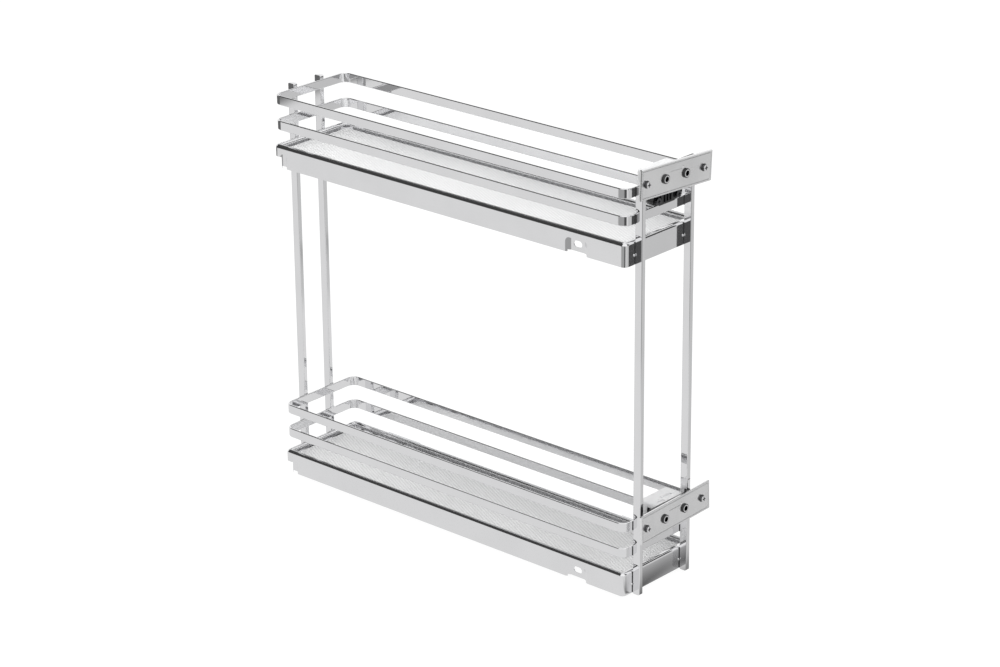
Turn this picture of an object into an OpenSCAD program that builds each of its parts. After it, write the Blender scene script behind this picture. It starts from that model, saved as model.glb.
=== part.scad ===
// Pull out larder unit: two narrow steel baskets on four flat-bar posts, carried by a full extension
// runner under each tray and fitted with two adjustable brackets for the cabinet door.
// Millimetres. +X is the cabinet wall that carries the runners, -Y is the door, +Z is up.
// The origin lies on that wall, midway between the front pair of screw holes of the lower runner.

/* [Trays] */
// Width of a tray over its skirt
tray_w = 106.5; // [104:0.5:150]
// Depth of a tray, front to back
tray_d = 468; // [440:1:520]
// Height of a tray, from the edge of its skirt to the top of its rim
tray_h = 23; // [22:0.5:25]
// Height from the lower tray to the upper tray
tray_pitch = 342; // [250:1:480]
// Thickness of the tray's sheet
sheet_t = 1; // [0.8:0.1:1.2]
// Outside radius of a tray's upright corners
tray_corner_r = 5; // [4.8:0.1:8]
// Outside radius of the rolled rim
bead_r = 2.3; // [1.8:0.1:2.4]
// Depth of the tray's floor below the top of the rim
floor_drop = 5.8; // [5:0.1:6.5]

/* [Mats] */
// Thickness of the anti-slip mat
mat_t = 1.5; // [1:0.1:2.5]
// Space between the rim and the edge of the mat
mat_gap = 3.5; // [1:0.5:8]
// Corner radius of the mat
mat_corner_r = 3; // [1:0.5:8]

/* [Rails] */
// Height of the flat bar that a rail is bent from
rail_h = 10; // [6:0.5:14]
// Thickness of that bar
rail_t = 2; // [1.5:0.1:3]
// Outside radius of a rail's corners
rail_corner_r = 10; // [6:0.5:14]
// Distance of a rail's side inside the tray's side
rail_inset = 1; // [0:0.5:3]
// Height of the lower rail's bottom edge above the skirt's edge
low_rail_z = 40; // [30:1:48]
// Height of the top rail's bottom edge above the skirt's edge
top_rail_z = 67; // [60:1:80]
// Rounding of the bar's long edges
rail_edge_r = 0.8; // [0.2:0.1:0.9]

/* [Posts] */
// Width of a post's flat bar, side to side
post_w = 5; // [4:0.5:6]
// Depth of a post's flat bar, front to back
post_d = 9; // [8:0.5:9]
// Distance between the middles of the front posts
front_post_pitch = 73; // [68:0.5:76]
// Space between a rear post and the runner beside it
rear_post_gap = 1.5; // [1:0.5:3]
// Radius of the rounding at a post's ends
post_end_r = 2.2; // [0.5:0.1:3]
// Rounding of a post's long edges
post_edge_r = 0.8; // [0.2:0.1:1.2]
// How far the posts reach below the lower skirt
post_foot = 1; // [0:0.5:1.5]
// How far the rear posts rise above the top rail
rear_post_rise = 3.5; // [0:0.5:10]

/* [Skirt pockets] */
// Distance from the tray's front to the middle of the front pocket
pocket_y = 60; // [50:1:90]
// Length of the front pocket
pocket_l = 28; // [25:1:34]
// Length of the slope at each end of the front pocket
pocket_slope = 5.5; // [3:0.5:6]
// How far the front pocket is pressed inwards
pocket_depth = 2.5; // [2.4:0.1:2.8]
// Height of the front pocket's roof above the skirt's edge
pocket_h = 15; // [14:0.25:15]
// Height of the pocket's own lower edge
pocket_edge = 2; // [0:0.5:4]
// Length of the slotted hole in the pocket
slot_l = 10.5; // [8:0.5:12]
// Width of the slotted hole
slot_w = 6.5; // [5:0.5:8]
// Height of the slotted hole above the skirt's edge
slot_z = 9.5; // [9:0.5:10.5]
// Length of the small rear pocket
rear_pocket_l = 9; // [6:1:14]
// Length of the slope at each end of the rear pocket
rear_pocket_slope = 2; // [1:0.5:2.5]
// How far the rear pocket is pressed inwards
rear_pocket_depth = 1.5; // [1:0.1:2]
// Length of the raised corner behind the rear pocket
corner_cut_l = 10; // [6:1:12]
// Height of the raised corner's edge
corner_cut_h = 11.5; // [8:0.5:13]

/* [Runners] */
// Distance of the runners' front ends behind the tray's front
runner_front = 10; // [8:1:20]
// Distance of the runners' rear ends ahead of the tray's rear
runner_rear = 8; // [8:1:12]
// Half of the cabinet member's width
runner_half = 12; // [11.8:0.1:12]
// Height of a runner, from the cabinet member to the tray's floor
runner_h = 12.7; // [12.4:0.1:13]
// Thickness of the runner's members
member_t = 1.1; // [1:0.05:1.1]
// Radius of the balls
ball_r = 1.2; // [1.1:0.05:1.2]
// Number of balls in one row of a cage
ball_count = 7; // [3:1:12]
// Space between two balls
ball_pitch = 32; // [8:1:34]
// Thickness of a ball cage
cage_t = 0.5; // [0.4:0.1:0.6]

/* [Wall brackets] */
// Thickness of a wall bracket
bracket_t = 1.5; // [1.2:0.1:1.6]
// Length of a wall bracket
bracket_l = 46; // [44:1:60]
// Distance between the two screw holes of a bracket
bracket_hole_pitch = 32; // [20:1:34]
// Diameter of the screw holes
bracket_hole_d = 4.5; // [3.5:0.1:6]
// Height of the screw holes above the skirt's edge
bracket_hole_z = 12; // [8:0.5:15]
// Height of the bracket's flange above the skirt's edge
flange_top = 20; // [18:0.5:24]
// Distance from the tray's side to the cabinet wall
wall_gap = 5.75; // [5:0.25:10]
// Distance from a runner's end to the middle of the bracket there
bracket_from_end = 61; // [40:1:120]

/* [Door brackets] */
// Width of the clamp that holds the top rail
clamp_w = 45; // [44:0.5:46]
// Lowest point of the clamp above the skirt's edge
clamp_foot = 52.5; // [51:0.5:54]
// Height of the clamp's cover above the top rail
cover_rise = 11; // [10:0.5:12]
// How far the cover reaches behind the rails' front
cover_back = 11; // [9:0.5:14]
// Radius of the clamp's lower corners
clamp_foot_r = 9; // [5:0.5:10]
// Distance between the two clamp screws
clamp_screw_pitch = 30; // [28:0.5:32]
// Height of the clamp screws above the skirt's edge
clamp_screw_z = 58; // [57.5:0.5:60]
// Height of the carrier behind the door plate
carrier_h = 24; // [20:0.5:26]
// Width of the door plate
plate_w = 106; // [98:1:130]
// Height of the door plate
plate_h = 30.5; // [28:0.5:36]
// Thickness of the door plate
plate_t = 2; // [1.5:0.1:2.5]
// Height of the middle of the door plate above the skirt's edge, before adjustment
plate_z = 79; // [78:0.5:80]
// Distance between the two door pins
pin_pitch = 85; // [82:1:90]
// Distance between the two screw bushes
bush_pitch = 30.4; // [26:0.2:34]
// Sideways offset of the pins and bushes from the plate's middle
hole_shift = -2; // [-3:0.5:3]
// Outside diameter of a bush
bush_d = 9.2; // [8.6:0.1:10]
// Bore of the steel liner in a bush
liner_bore_d = 5.4; // [4:0.1:6]
// How far a bush stands out of the plate
bush_out = 1.6; // [0.5:0.1:3]
// Diameter of a door pin's seat in the plate
pin_d = 7.6; // [7:0.1:8.5]
// How far a door pin stands out of the plate
pin_out = 3; // [2.5:0.5:5]
// Length of the shallow field pressed into the plate
field_l = 20.6; // [10:0.2:24]
// Height of that field
field_h = 4; // [3:0.5:5]

/* [Adjustment as photographed] */
// Sideways setting of the upper bracket
upper_side = 0; // [-8:0.5:8]
// Height setting of the upper bracket
upper_height = 3; // [-4:0.5:4]
// Tilt of the upper door plate, in degrees
upper_tilt = 3.2; // [-4:0.1:4]
// Sideways setting of the lower bracket
lower_side = 5; // [-8:0.5:8]
// Height setting of the lower bracket
lower_height = -3; // [-4:0.5:4]
// Tilt of the lower door plate, in degrees
lower_tilt = -1.9; // [-4:0.1:4]

/* [Hidden] */
$fn = 64;
EPS = 0.01;

// Clearances
slide_gap = 0.2;
pin_gap = 0.05;
fit_gap = 0.3;

// Trays
floor_z = tray_h - floor_drop - sheet_t;
floor_top = floor_z + sheet_t;
bead_z = tray_h - bead_r;
mat_inset = 2 * bead_r + mat_gap;
rail_w = tray_w - 2 * rail_inset;
upper_z = tray_pitch;

// Posts
front_post_y = -tray_d / 2 - post_d / 2;
rear_post_y = tray_d / 2 + post_d / 2;
front_post_top = tray_pitch + top_rail_z + rail_h;
rear_post_top = front_post_top + rear_post_rise;

// Places across: pocket, tab of the drawer member, runner, rear post
tab_t = 1.5;
tab_gap = 1.05;
tab_x = tray_w / 2 - sheet_t - pocket_depth - tab_t;
runner_x = tab_x - tab_gap - runner_half;
rear_post_side = runner_x - runner_half - rear_post_gap;
rear_post_x = rear_post_side - post_w / 2;

// Skirt
front_pocket_y = -tray_d / 2 + pocket_y;
rear_pocket_y = tray_d / 2 - corner_cut_l - rear_pocket_l / 2 + rear_pocket_slope / 2;
pocket_r = 5;
roof_slope = 0.8;
runner_window_gap = 0.7;

// Runner: places across its own middle, and heights above its cabinet member
runner_z = floor_z - runner_h;
runner_y0 = -tray_d / 2 + runner_front;
runner_y1 = tray_d / 2 - runner_rear;
runner_l = runner_y1 - runner_y0;
groove_gap = 0.05;
groove_depth = 0.25;
lip_t = 1.1;
lip_reach = 1.4;
lip_top = runner_h - 2.1;
outer_face = runner_half - member_t;
outer_ball = outer_face - ball_r + groove_depth;
middle_half = outer_ball - ball_r + groove_depth;
middle_face = middle_half - member_t;
inner_ball = middle_face - ball_r + groove_depth;
inner_half = inner_ball - ball_r + groove_depth;
inner_face = inner_half - member_t;
outer_ball_z = 5.4;
inner_ball_z = 7;
middle_z = member_t + 1;
middle_top = lip_top - lip_t - fit_gap;
inner_z = middle_z + member_t + 1.3;
outer_cage_z = member_t + (middle_z - member_t - cage_t) / 2;
inner_cage_z = middle_z + member_t + (inner_z - middle_z - member_t - cage_t) / 2;
hat_half = runner_half - 1;
cage_l = (ball_count - 1) * ball_pitch + 8 * ball_r;
tab_l = pocket_l - 2 * pocket_slope - 1;
tab_foot = runner_z + fit_gap;
tab_bore_r = 1.75;

// Wall brackets
wall_x = tray_w / 2 + wall_gap;
shelf_z = runner_z - bracket_t;
shelf_x = runner_x - runner_half + 1;
drop_x = runner_x + runner_half + fit_gap + bracket_t;
foot_gap = 1.7;
foot_z = -foot_gap - bracket_t;
front_bracket_y = runner_y0 + bracket_from_end;
rear_bracket_y = runner_y1 - bracket_from_end;

// Door brackets: depths in front of (minus) and behind (plus) the front face of the rails
cover_top = top_rail_z + rail_h + cover_rise;
block_front = -7;
block_back = -slide_gap;
block_top = cover_top - 4;
cover_roof = block_top + slide_gap;
cover_r = 3.5;
carrier_gap = 1.5;
carrier_t = 5.5;
carrier_back = -post_d - carrier_gap;
carrier_front = carrier_back - carrier_t;
carrier_r = 3;
cover_front = carrier_back + slide_gap;
height_reach = 4;
tilt_reach = 4;
key_half = 8;
key_neck_half = 5;
key_depth = 2.6;
key_lip = -4.6;
key_h = 11;
key_top = cover_roof - height_reach - fit_gap - plate_z;
slot_foot = plate_z + key_top - key_h - height_reach - fit_gap;
plate_back = carrier_front - slide_gap;
plate_front = plate_back - plate_t;
bush_lip = 0.8;
bush_flange_t = 0.8;
bush_back = plate_back + bush_flange_t;
bush_end = plate_front - bush_out;
liner_wall = 1;
liner_out = 0.4;
pin_lip = 1.2;
pin_end = plate_front - pin_out;
pin_step = 0.5;
pin_step_back = 0.1;
pin_side_gap = 0.8;
carrier_w = pin_pitch - 2 * abs(hole_shift) - pin_d - 2 * (pin_lip + pin_side_gap);
bush_swing = (bush_pitch / 2 + abs(hole_shift)) * sin(tilt_reach + 0.5);
carrier_hole_r = bush_d / 2 + bush_lip + bush_swing + fit_gap;
stud_r = 3;
stud_l = 4;
clamp_hole_r = 2.15;
clamp_shank_r = 2;
clamp_head_r = 3.5;
clamp_head_t = 2.2;
boss_r = 4;
boss_ring_r = 6.4;
boss_ring_depth = 2;
rib_w = 3;
rib_pitch = 4.4;
rib_depth = 2;
recess_w = 1.1;
recess_l = 4.4;
recess_depth = 1.2;
lock_depth = 1.2;
lock_slot_l = 16;
lock_slot_w = 4;
dial_r = 2.6;
dial_x = 7;
dial_y = -7;
edge_bevel = 0.6;
border_w = 2;
border_groove = 0.6;
border_depth = 0.5;
field_x = -1;
field_z = 7.5;
field_depth = 0.35;
plate_corner_r = 1;

// Moves the model so that its origin is the middle of the lower runner's front pair of holes
module place() {
    translate([-wall_x, -front_bracket_y, -bracket_hole_z]) children();
}

module at_level(z) {
    translate([0, 0, z]) children();
}

// ---- Plane shapes ----

module round_rect(w, d, r) {
    square([w - 2 * r, d], center = true);
    square([w, d - 2 * r], center = true);
    for (x = [-1, 1], y = [-1, 1])
        translate([x * (w / 2 - r), y * (d / 2 - r)]) circle(r);
}

module ring_plate(w, d, r, t) {
    difference() {
        round_rect(w, d, r);
        round_rect(w - 2 * t, d - 2 * t, r - t);
    }
}

// Upright panel with its own radius at the top and at the foot
module panel_outline(w, z0, z1, r_top, r_foot) {
    translate([0, (z0 + z1 - 2 * r_top) / 2]) round_rect(w, z1 - z0 - 2 * r_top, r_foot);
    translate([0, (z0 + z1 + 2 * r_foot) / 2]) round_rect(w, z1 - z0 - 2 * r_foot, r_top);
}

// Extrudes a shape drawn in X and Z between two depths
module across_y(y0, y1) {
    translate([0, y1, 0]) rotate([90, 0, 0]) linear_extrude(y1 - y0) children();
}

// Extrudes a shape drawn in Y and Z between two widths
module across_x(x0, x1) {
    translate([x0, 0, 0]) rotate([90, 0, 90]) linear_extrude(x1 - x0) children();
}

// Carries a section round a rectangle with rounded corners; the section's outside lies at X = 0
module swept_ring(w, d, r) {
    for (side = [[0, w, d], [90, d, w], [180, w, d], [270, d, w]])
        rotate([0, 0, side[0]]) translate([side[1] / 2, 0, 0])
            rotate([90, 0, 0]) linear_extrude(side[2] - 2 * r, center = true) children();
    for (corner = [[1, 1, 0], [-1, 1, 90], [-1, -1, 180], [1, -1, 270]])
        translate([corner[0] * (w / 2 - r), corner[1] * (d / 2 - r), 0])
            rotate([0, 0, corner[2]])
                rotate_extrude(angle = 90) translate([r, 0]) children();
}

// ---- Trays ----

module bead_section() {
    translate([-bead_r, 0]) intersection() {
        difference() {
            circle(bead_r);
            circle(bead_r - sheet_t);
        }
        translate([-bead_r, 0]) square([2 * bead_r, bead_r]);
    }
}

module pressed_sheet() {
    wall_in = 2 * bead_r - sheet_t;
    linear_extrude(bead_z) ring_plate(tray_w, tray_d, tray_corner_r, sheet_t);
    translate([0, 0, bead_z]) swept_ring(tray_w, tray_d, tray_corner_r) bead_section();
    translate([0, 0, floor_z]) linear_extrude(bead_z - floor_z)
        ring_plate(tray_w - 2 * wall_in, tray_d - 2 * wall_in, tray_corner_r - wall_in, sheet_t);
    translate([0, 0, floor_z]) linear_extrude(sheet_t)
        round_rect(tray_w - 2 * wall_in, tray_d - 2 * wall_in, tray_corner_r - wall_in);
}

// Side view of a pocket: open at the skirt's edge, with rounded upper corners
module pocket_outline(length, top, foot, r) {
    translate([-length / 2, foot]) square([length, top - r - foot]);
    translate([-length / 2 + r, foot]) square([length - 2 * r, top - foot]);
    for (s = [-1, 1]) translate([s * (length / 2 - r), top - r]) circle(r);
}

// Space of a pocket in the side at +X, with sloping ends and roof, from its inner face out to a given
// place. Grown by the sheet's thickness it is the outside of the pressed metal.
module pocket_form(y, length, depth, slope, foot, grow, reach) {
    inner = -depth - grow;
    end_run = slope / depth;
    roof_run = roof_slope / depth;
    half = length / 2 + grow * sqrt(1 + end_run * end_run);
    top = pocket_h + grow * sqrt(1 + roof_run * roof_run);
    r = min(pocket_r, length / 3) + grow;
    translate([tray_w / 2, y, 0]) intersection() {
        translate([0, 0, foot]) linear_extrude(2 * pocket_h) polygon([
            [inner, -half - inner * end_run], [reach, -half - reach * end_run],
            [reach, half + reach * end_run], [inner, half + inner * end_run]]);
        across_y(-length, length) polygon([
            [inner, foot - 1], [reach, foot - 1],
            [reach, top + reach * roof_run], [inner, top + inner * roof_run]]);
        across_x(inner - 1, reach + 1) pocket_outline(2 * half, top, foot - 1, r);
    }
}

module slotted_hole() {
    across_x(tray_w / 2 - pocket_depth - 2 * sheet_t, tray_w / 2 + 1)
        translate([front_pocket_y, slot_z]) round_rect(slot_l, slot_w, slot_w / 2 - EPS);
}

// Openings at the rear that let the runner pass, on the side at +X
module runner_window() {
    x0 = rear_post_side + runner_window_gap;
    x1 = tray_w / 2 - sheet_t - rear_pocket_depth - sheet_t;
    w = x1 - x0;
    across_y(tray_d / 2 - 2 * sheet_t, tray_d / 2 + 1) {
        translate([(x0 + x1) / 2, floor_z / 2]) round_rect(w, floor_z, pocket_r / 2);
        translate([x0, -1]) square([w, floor_z / 2]);
    }
}

module corner_cut() {
    x0 = tray_w / 2 - tray_corner_r - EPS;
    translate([x0, tray_d / 2 - corner_cut_l, -1])
        cube([tray_corner_r + 1, corner_cut_l + 1, corner_cut_h + 1]);
}

module tray_side_cuts() {
    pocket_form(front_pocket_y, pocket_l, pocket_depth, pocket_slope, -1, 0, 1);
    pocket_form(rear_pocket_y, rear_pocket_l, rear_pocket_depth, rear_pocket_slope, -1, 0, 1);
    slotted_hole();
    runner_window();
    corner_cut();
}

module tray_side_pockets() {
    skin = -sheet_t / 2;
    pocket_form(front_pocket_y, pocket_l, pocket_depth, pocket_slope, pocket_edge, sheet_t, skin);
    pocket_form(rear_pocket_y, rear_pocket_l, rear_pocket_depth, rear_pocket_slope, pocket_edge, sheet_t, skin);
}

module tray() {
    color([0.82, 0.82, 0.84]) difference() {
        union() {
            pressed_sheet();
            tray_side_pockets();
            mirror([1, 0, 0]) tray_side_pockets();
        }
        tray_side_cuts();
        mirror([1, 0, 0]) tray_side_cuts();
    }
}

module mat() {
    color([0.93, 0.93, 0.93]) translate([0, 0, floor_top])
        linear_extrude(mat_t)
            round_rect(tray_w - 2 * mat_inset, tray_d - 2 * mat_inset, mat_corner_r);
}

module rail(z) {
    edge_r = min(rail_edge_r, 0.45 * rail_t);
    color([0.8, 0.8, 0.82]) translate([0, 0, z + rail_h / 2])
        swept_ring(rail_w, tray_d, rail_corner_r)
            translate([-rail_t / 2, 0]) round_rect(rail_t, rail_h, edge_r);
}

// ---- Posts ----

module post(x, y, top) {
    height = top + post_foot;
    color([0.78, 0.78, 0.8]) translate([x, y, (top - post_foot) / 2]) intersection() {
        across_x(-post_w, post_w) round_rect(post_d, height, post_end_r);
        linear_extrude(height, center = true) round_rect(post_w, post_d, post_edge_r);
    }
}

// ---- Runner: sections are drawn across X, with the cabinet member's underside at zero ----

module at_runner() {
    translate([runner_x, 0, runner_z]) children();
}

module both_sides() {
    children();
    mirror([1, 0]) children();
}

module member_along(y0, length) {
    across_y(y0, y0 + length) children();
}

module cabinet_section() {
    difference() {
        both_sides() {
            square([runner_half, member_t]);
            translate([outer_face, 0]) square([member_t, lip_top]);
            translate([outer_face - lip_reach, lip_top - lip_t]) square([lip_reach + member_t, lip_t]);
        }
        both_sides() translate([outer_ball, outer_ball_z]) circle(ball_r + groove_gap);
    }
}

module middle_section() {
    difference() {
        both_sides() {
            translate([0, middle_z]) square([middle_half, member_t]);
            translate([middle_face, middle_z]) square([member_t, middle_top - middle_z]);
        }
        both_sides() {
            translate([outer_ball, outer_ball_z]) circle(ball_r + groove_gap);
            translate([inner_ball, inner_ball_z]) circle(ball_r + groove_gap);
        }
    }
}

module drawer_section() {
    difference() {
        both_sides() {
            translate([inner_face, inner_z]) square([member_t, runner_h - inner_z]);
            translate([0, runner_h - member_t]) square([hat_half, member_t]);
        }
        both_sides() translate([inner_ball, inner_ball_z]) circle(ball_r + groove_gap);
    }
}

module cabinet_member() {
    color([0.7, 0.72, 0.74]) at_runner() member_along(runner_y0, runner_l) cabinet_section();
}

module middle_member() {
    color([0.72, 0.74, 0.76]) at_runner() member_along(runner_y0, runner_l) middle_section();
}

// A tab of the drawer member that turns down beside the runner and meets the skirt's pocket
module drawer_tab(y, depth, length) {
    x0 = tray_w / 2 - sheet_t - depth - tab_t;
    across_y(y - length / 2, y + length / 2) {
        translate([runner_x, floor_z - member_t]) square([x0 + tab_t - runner_x, member_t]);
        translate([x0, tab_foot]) square([tab_t, floor_z - tab_foot]);
    }
}

module drawer_member() {
    color([0.74, 0.76, 0.78]) difference() {
        union() {
            at_runner() member_along(runner_y0, runner_l) drawer_section();
            drawer_tab(front_pocket_y, pocket_depth, tab_l);
            drawer_tab(rear_pocket_y, rear_pocket_depth, rear_pocket_l);
        }
        translate([tray_w / 2 - 4 * tab_t, front_pocket_y, slot_z])
            rotate([0, 90, 0]) cylinder(r = tab_bore_r, h = 5 * tab_t);
    }
}

module cage(half, z, ball_x, ball_z) {
    strip_h = ball_z + ball_r - z;
    color([0.85, 0.85, 0.82]) at_runner() {
        translate([0, -cage_l / 2, z])
            translate([-half, 0, 0]) cube([2 * half, cage_l, cage_t]);
        for (s = [-1, 1]) {
            translate([s * ball_x - cage_t / 2, -cage_l / 2, z]) cube([cage_t, cage_l, strip_h]);
            for (i = [0:ball_count - 1])
                translate([s * ball_x, (i - (ball_count - 1) / 2) * ball_pitch, ball_z]) sphere(ball_r);
        }
    }
}

module outer_cage() {
    cage(outer_ball + cage_t / 2, outer_cage_z, outer_ball, outer_ball_z);
}

module inner_cage() {
    cage(inner_ball + cage_t / 2, inner_cage_z, inner_ball, inner_ball_z);
}

module runner_screw() {
    head_x = tray_w / 2 - pocket_depth;
    head_t = pocket_depth - slide_gap;
    head_r = min(slot_w / 2 + 1, pocket_h - roof_slope - slot_z - fit_gap);
    shank_l = sheet_t + tab_t + 1;
    color([0.6, 0.6, 0.62]) translate([head_x, front_pocket_y, slot_z]) rotate([0, 90, 0]) {
        cylinder(r = head_r, h = head_t);
        translate([0, 0, -shank_l]) cylinder(r = tab_bore_r - pin_gap, h = shank_l + EPS);
    }
}

module bracket_section() {
    square_x = wall_x - bracket_t;
    translate([shelf_x, shelf_z]) square([drop_x - shelf_x, bracket_t]);
    translate([drop_x - bracket_t, foot_z]) square([bracket_t, shelf_z + bracket_t - foot_z]);
    translate([drop_x - bracket_t, foot_z]) square([wall_x - drop_x + bracket_t, bracket_t]);
    translate([square_x, foot_z]) square([bracket_t, flange_top - foot_z]);
}

module wall_bracket(y) {
    difference() {
        translate([0, y, 0]) across_y(-bracket_l / 2, bracket_l / 2) bracket_section();
        for (s = [-1, 1])
            translate([wall_x - 2 * bracket_t, y + s * bracket_hole_pitch / 2, bracket_hole_z])
                rotate([0, 90, 0]) cylinder(d = bracket_hole_d, h = 3 * bracket_t);
    }
}

module wall_brackets() {
    color([0.68, 0.7, 0.72]) {
        wall_bracket(front_bracket_y);
        wall_bracket(rear_bracket_y);
    }
}

// ---- Door bracket: drawn round the rails' front face, at a tray's own height ----

module at_bracket(side) {
    translate([side, -tray_d / 2, 0]) children();
}

module clamp_outline(top) {
    panel_outline(clamp_w, clamp_foot, top, cover_r, clamp_foot_r);
}

module clamp_screw_places() {
    for (s = [-1, 1]) translate([s * clamp_screw_pitch / 2, 0, clamp_screw_z]) rotate([90, 0, 0]) children();
}

// White cover: a saddle over the top rail, with a leg behind it and a roof above the clamp block
module clamp_cover(side) {
    leg_y = rail_t + slide_gap;
    rail_top = top_rail_z + rail_h + slide_gap;
    color([0.9, 0.9, 0.9]) at_bracket(side) difference() {
        across_y(cover_front, cover_back) clamp_outline(cover_top);
        translate([-clamp_w, -clamp_w, 0]) cube([2 * clamp_w, clamp_w + leg_y, rail_top]);
        translate([-clamp_w, -clamp_w, 0]) cube([2 * clamp_w, clamp_w, cover_roof]);
        translate([0, cover_back - 2, 0]) clamp_screw_places() cylinder(r = clamp_shank_r + pin_gap, h = cover_back);
        translate([-lock_slot_w, -lock_slot_w, cover_top - lock_depth])
            cube([lock_slot_l, lock_slot_w, 2 * lock_depth]);
        translate([-dial_x - dial_r - lock_slot_w, dial_y - dial_r / 2, cover_top - lock_depth])
            cube([dial_x, lock_slot_w, 2 * lock_depth]);
        translate([-dial_x, dial_y, cover_top - lock_depth]) cylinder(r = dial_r, h = 2 * lock_depth);
    }
}

// T-shaped key of the carrier; with a gap added it is the slot that the key slides in
module key_shape(gap, height) {
    across = [[-key_depth + gap - slide_gap, key_lip - gap, key_half], [key_lip, 2 * block_front, key_neck_half]];
    for (k = across)
        translate([-k[2] - gap, k[1], 0]) cube([2 * (k[2] + gap), k[0] - k[1], height]);
}

// Black block between the posts, in front of the top rail
module clamp_block(side) {
    color([0.12, 0.12, 0.13]) at_bracket(side) difference() {
        across_y(block_front, block_back) clamp_outline(block_top);
        clamp_screw_places() cylinder(r = clamp_hole_r, h = -2 * block_front);
        for (i = [-1:1])
            translate([i * rib_pitch - rib_w / 2, block_front - 1, clamp_foot + 2])
                cube([rib_w, rib_depth + 1, slot_foot - clamp_foot - 3]);
        translate([0, block_front + boss_ring_depth, 0]) clamp_screw_places() difference() {
            cylinder(r = boss_ring_r, h = boss_ring_depth + 1);
            translate([0, 0, -1]) cylinder(r = boss_r, h = boss_ring_depth + 3);
        }
        translate([0, 0, slot_foot]) key_shape(slide_gap, clamp_w);
    }
}

module clamp_screws(side) {
    shank_l = cover_back - block_front - 4;
    color([0.45, 0.45, 0.47]) at_bracket(side)
        translate([0, block_front, 0]) clamp_screw_places() difference() {
            union() {
                cylinder(r = clamp_head_r, h = clamp_head_t);
                translate([0, 0, -shank_l]) cylinder(r = clamp_shank_r, h = shank_l + EPS);
            }
            translate([0, 0, clamp_head_t - 1]) {
                translate([-2, -0.5, 0]) cube([4, 1, 2]);
                translate([-0.5, -2, 0]) cube([1, 4, 2]);
            }
        }
}

// Black carrier that slides up and down on the clamp block
module carrier(side, height) {
    z0 = plate_z + height - carrier_h / 2;
    color([0.15, 0.15, 0.16]) at_bracket(side) difference() {
        union() {
            across_y(carrier_front, carrier_back)
                panel_outline(carrier_w, z0, z0 + carrier_h, carrier_r, carrier_r);
            translate([0, 0, plate_z + height + key_top - key_h]) key_shape(0, key_h);
        }
        translate([0, carrier_back - EPS, plate_z + height])
            rotate([90, 0, 0]) cylinder(r = stud_r + pin_gap, h = -2 * carrier_back);
        for (s = [-1, 1])
            translate([s * bush_pitch / 2 + hole_shift, 0, plate_z + height])
                rotate([90, 0, 0]) cylinder(r = carrier_hole_r, h = -2 * carrier_back);
    }
}

// Turns a plate's own parts about the stud in the middle of the plate
module at_plate(side, height, tilt) {
    at_bracket(side) translate([0, 0, plate_z + height]) rotate([0, tilt, 0]) children();
}

module plate_holes(pitch, d) {
    for (s = [-1, 1])
        translate([s * pitch / 2 + hole_shift, plate_back + 1, 0])
            rotate([90, 0, 0]) cylinder(d = d, h = plate_t + 2);
}

// Bevel along one front edge of the plate
module edge_wedge(half, length) {
    translate([0, plate_front, 0]) across_x(-length, length) polygon([
        [-1, half - edge_bevel], [0, half - edge_bevel], [edge_bevel, half], [edge_bevel, half + 1], [-1, half + 1]]);
}

// Steel door plate with bevelled edges, a fine line inside its border and a stud behind its middle
module door_plate(side, height, tilt) {
    inner_w = plate_w - 2 * border_w;
    inner_h = plate_h - 2 * border_w;
    color([0.7, 0.7, 0.71]) at_plate(side, height, tilt) difference() {
        union() {
            across_y(plate_front, plate_back) round_rect(plate_w, plate_h, plate_corner_r);
            across_y(plate_back - EPS, plate_back + stud_l) circle(stud_r);
        }
        for (edge = [[0, plate_h], [90, plate_w], [180, plate_h], [270, plate_w]])
            rotate([0, edge[0], 0]) edge_wedge(edge[1] / 2, plate_w);
        across_y(plate_front - 1, plate_front + border_depth)
            ring_plate(inner_w, inner_h, plate_corner_r, border_groove);
        across_y(plate_front - 1, plate_front + field_depth)
            translate([field_x, field_z]) round_rect(field_l, field_h, field_h / 2 - EPS);
        plate_holes(bush_pitch, bush_d);
        plate_holes(pin_pitch, pin_d);
    }
}

module plate_parts(side, height, tilt, pitch) {
    at_plate(side, height, tilt)
        for (s = [-1, 1]) translate([s * pitch / 2 + hole_shift, bush_back, 0]) rotate([90, 0, 0]) children();
}

// Black bushes with a flange behind the plate
module bushes(side, height, tilt) {
    color([0.1, 0.1, 0.11]) plate_parts(side, height, tilt, bush_pitch) difference() {
        union() {
            cylinder(d = bush_d - 2 * pin_gap, h = bush_back - bush_end);
            cylinder(d = bush_d + 2 * bush_lip, h = bush_flange_t - fit_gap);
        }
        translate([0, 0, -1])
            cylinder(d = liner_bore_d + 2 * (liner_wall + pin_gap), h = bush_back - bush_end + 2);
    }
}

// Steel liners of the bushes, which the door screws go through
module bush_liners(side, height, tilt) {
    liner_l = bush_back - bush_end + liner_out;
    color([0.75, 0.75, 0.76]) plate_parts(side, height, tilt, bush_pitch) difference() {
        cylinder(d = liner_bore_d + 2 * liner_wall, h = liner_l);
        translate([0, 0, -1]) cylinder(d = liner_bore_d, h = liner_l + 2);
    }
}

// Steel pins that locate the door, with a crossed recess in the end and a flange behind the plate
module door_pins(side, height, tilt) {
    pin_l = bush_back - pin_end;
    seat_l = bush_back - plate_front - pin_step_back;
    color([0.75, 0.75, 0.76]) plate_parts(side, height, tilt, pin_pitch) difference() {
        union() {
            cylinder(d = pin_d - 2 * pin_gap, h = seat_l);
            cylinder(d = pin_d - 2 * (pin_gap + pin_step), h = pin_l);
            cylinder(d = pin_d + 2 * pin_lip, h = bush_flange_t - fit_gap);
        }
        translate([0, 0, pin_l - recess_depth]) for (turn = [0, 90])
            rotate([0, 0, turn]) translate([-recess_l / 2, -recess_w / 2, 0])
                cube([recess_l, recess_w, 2 * recess_depth]);
    }
}

// ---- Named pieces ----

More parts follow.
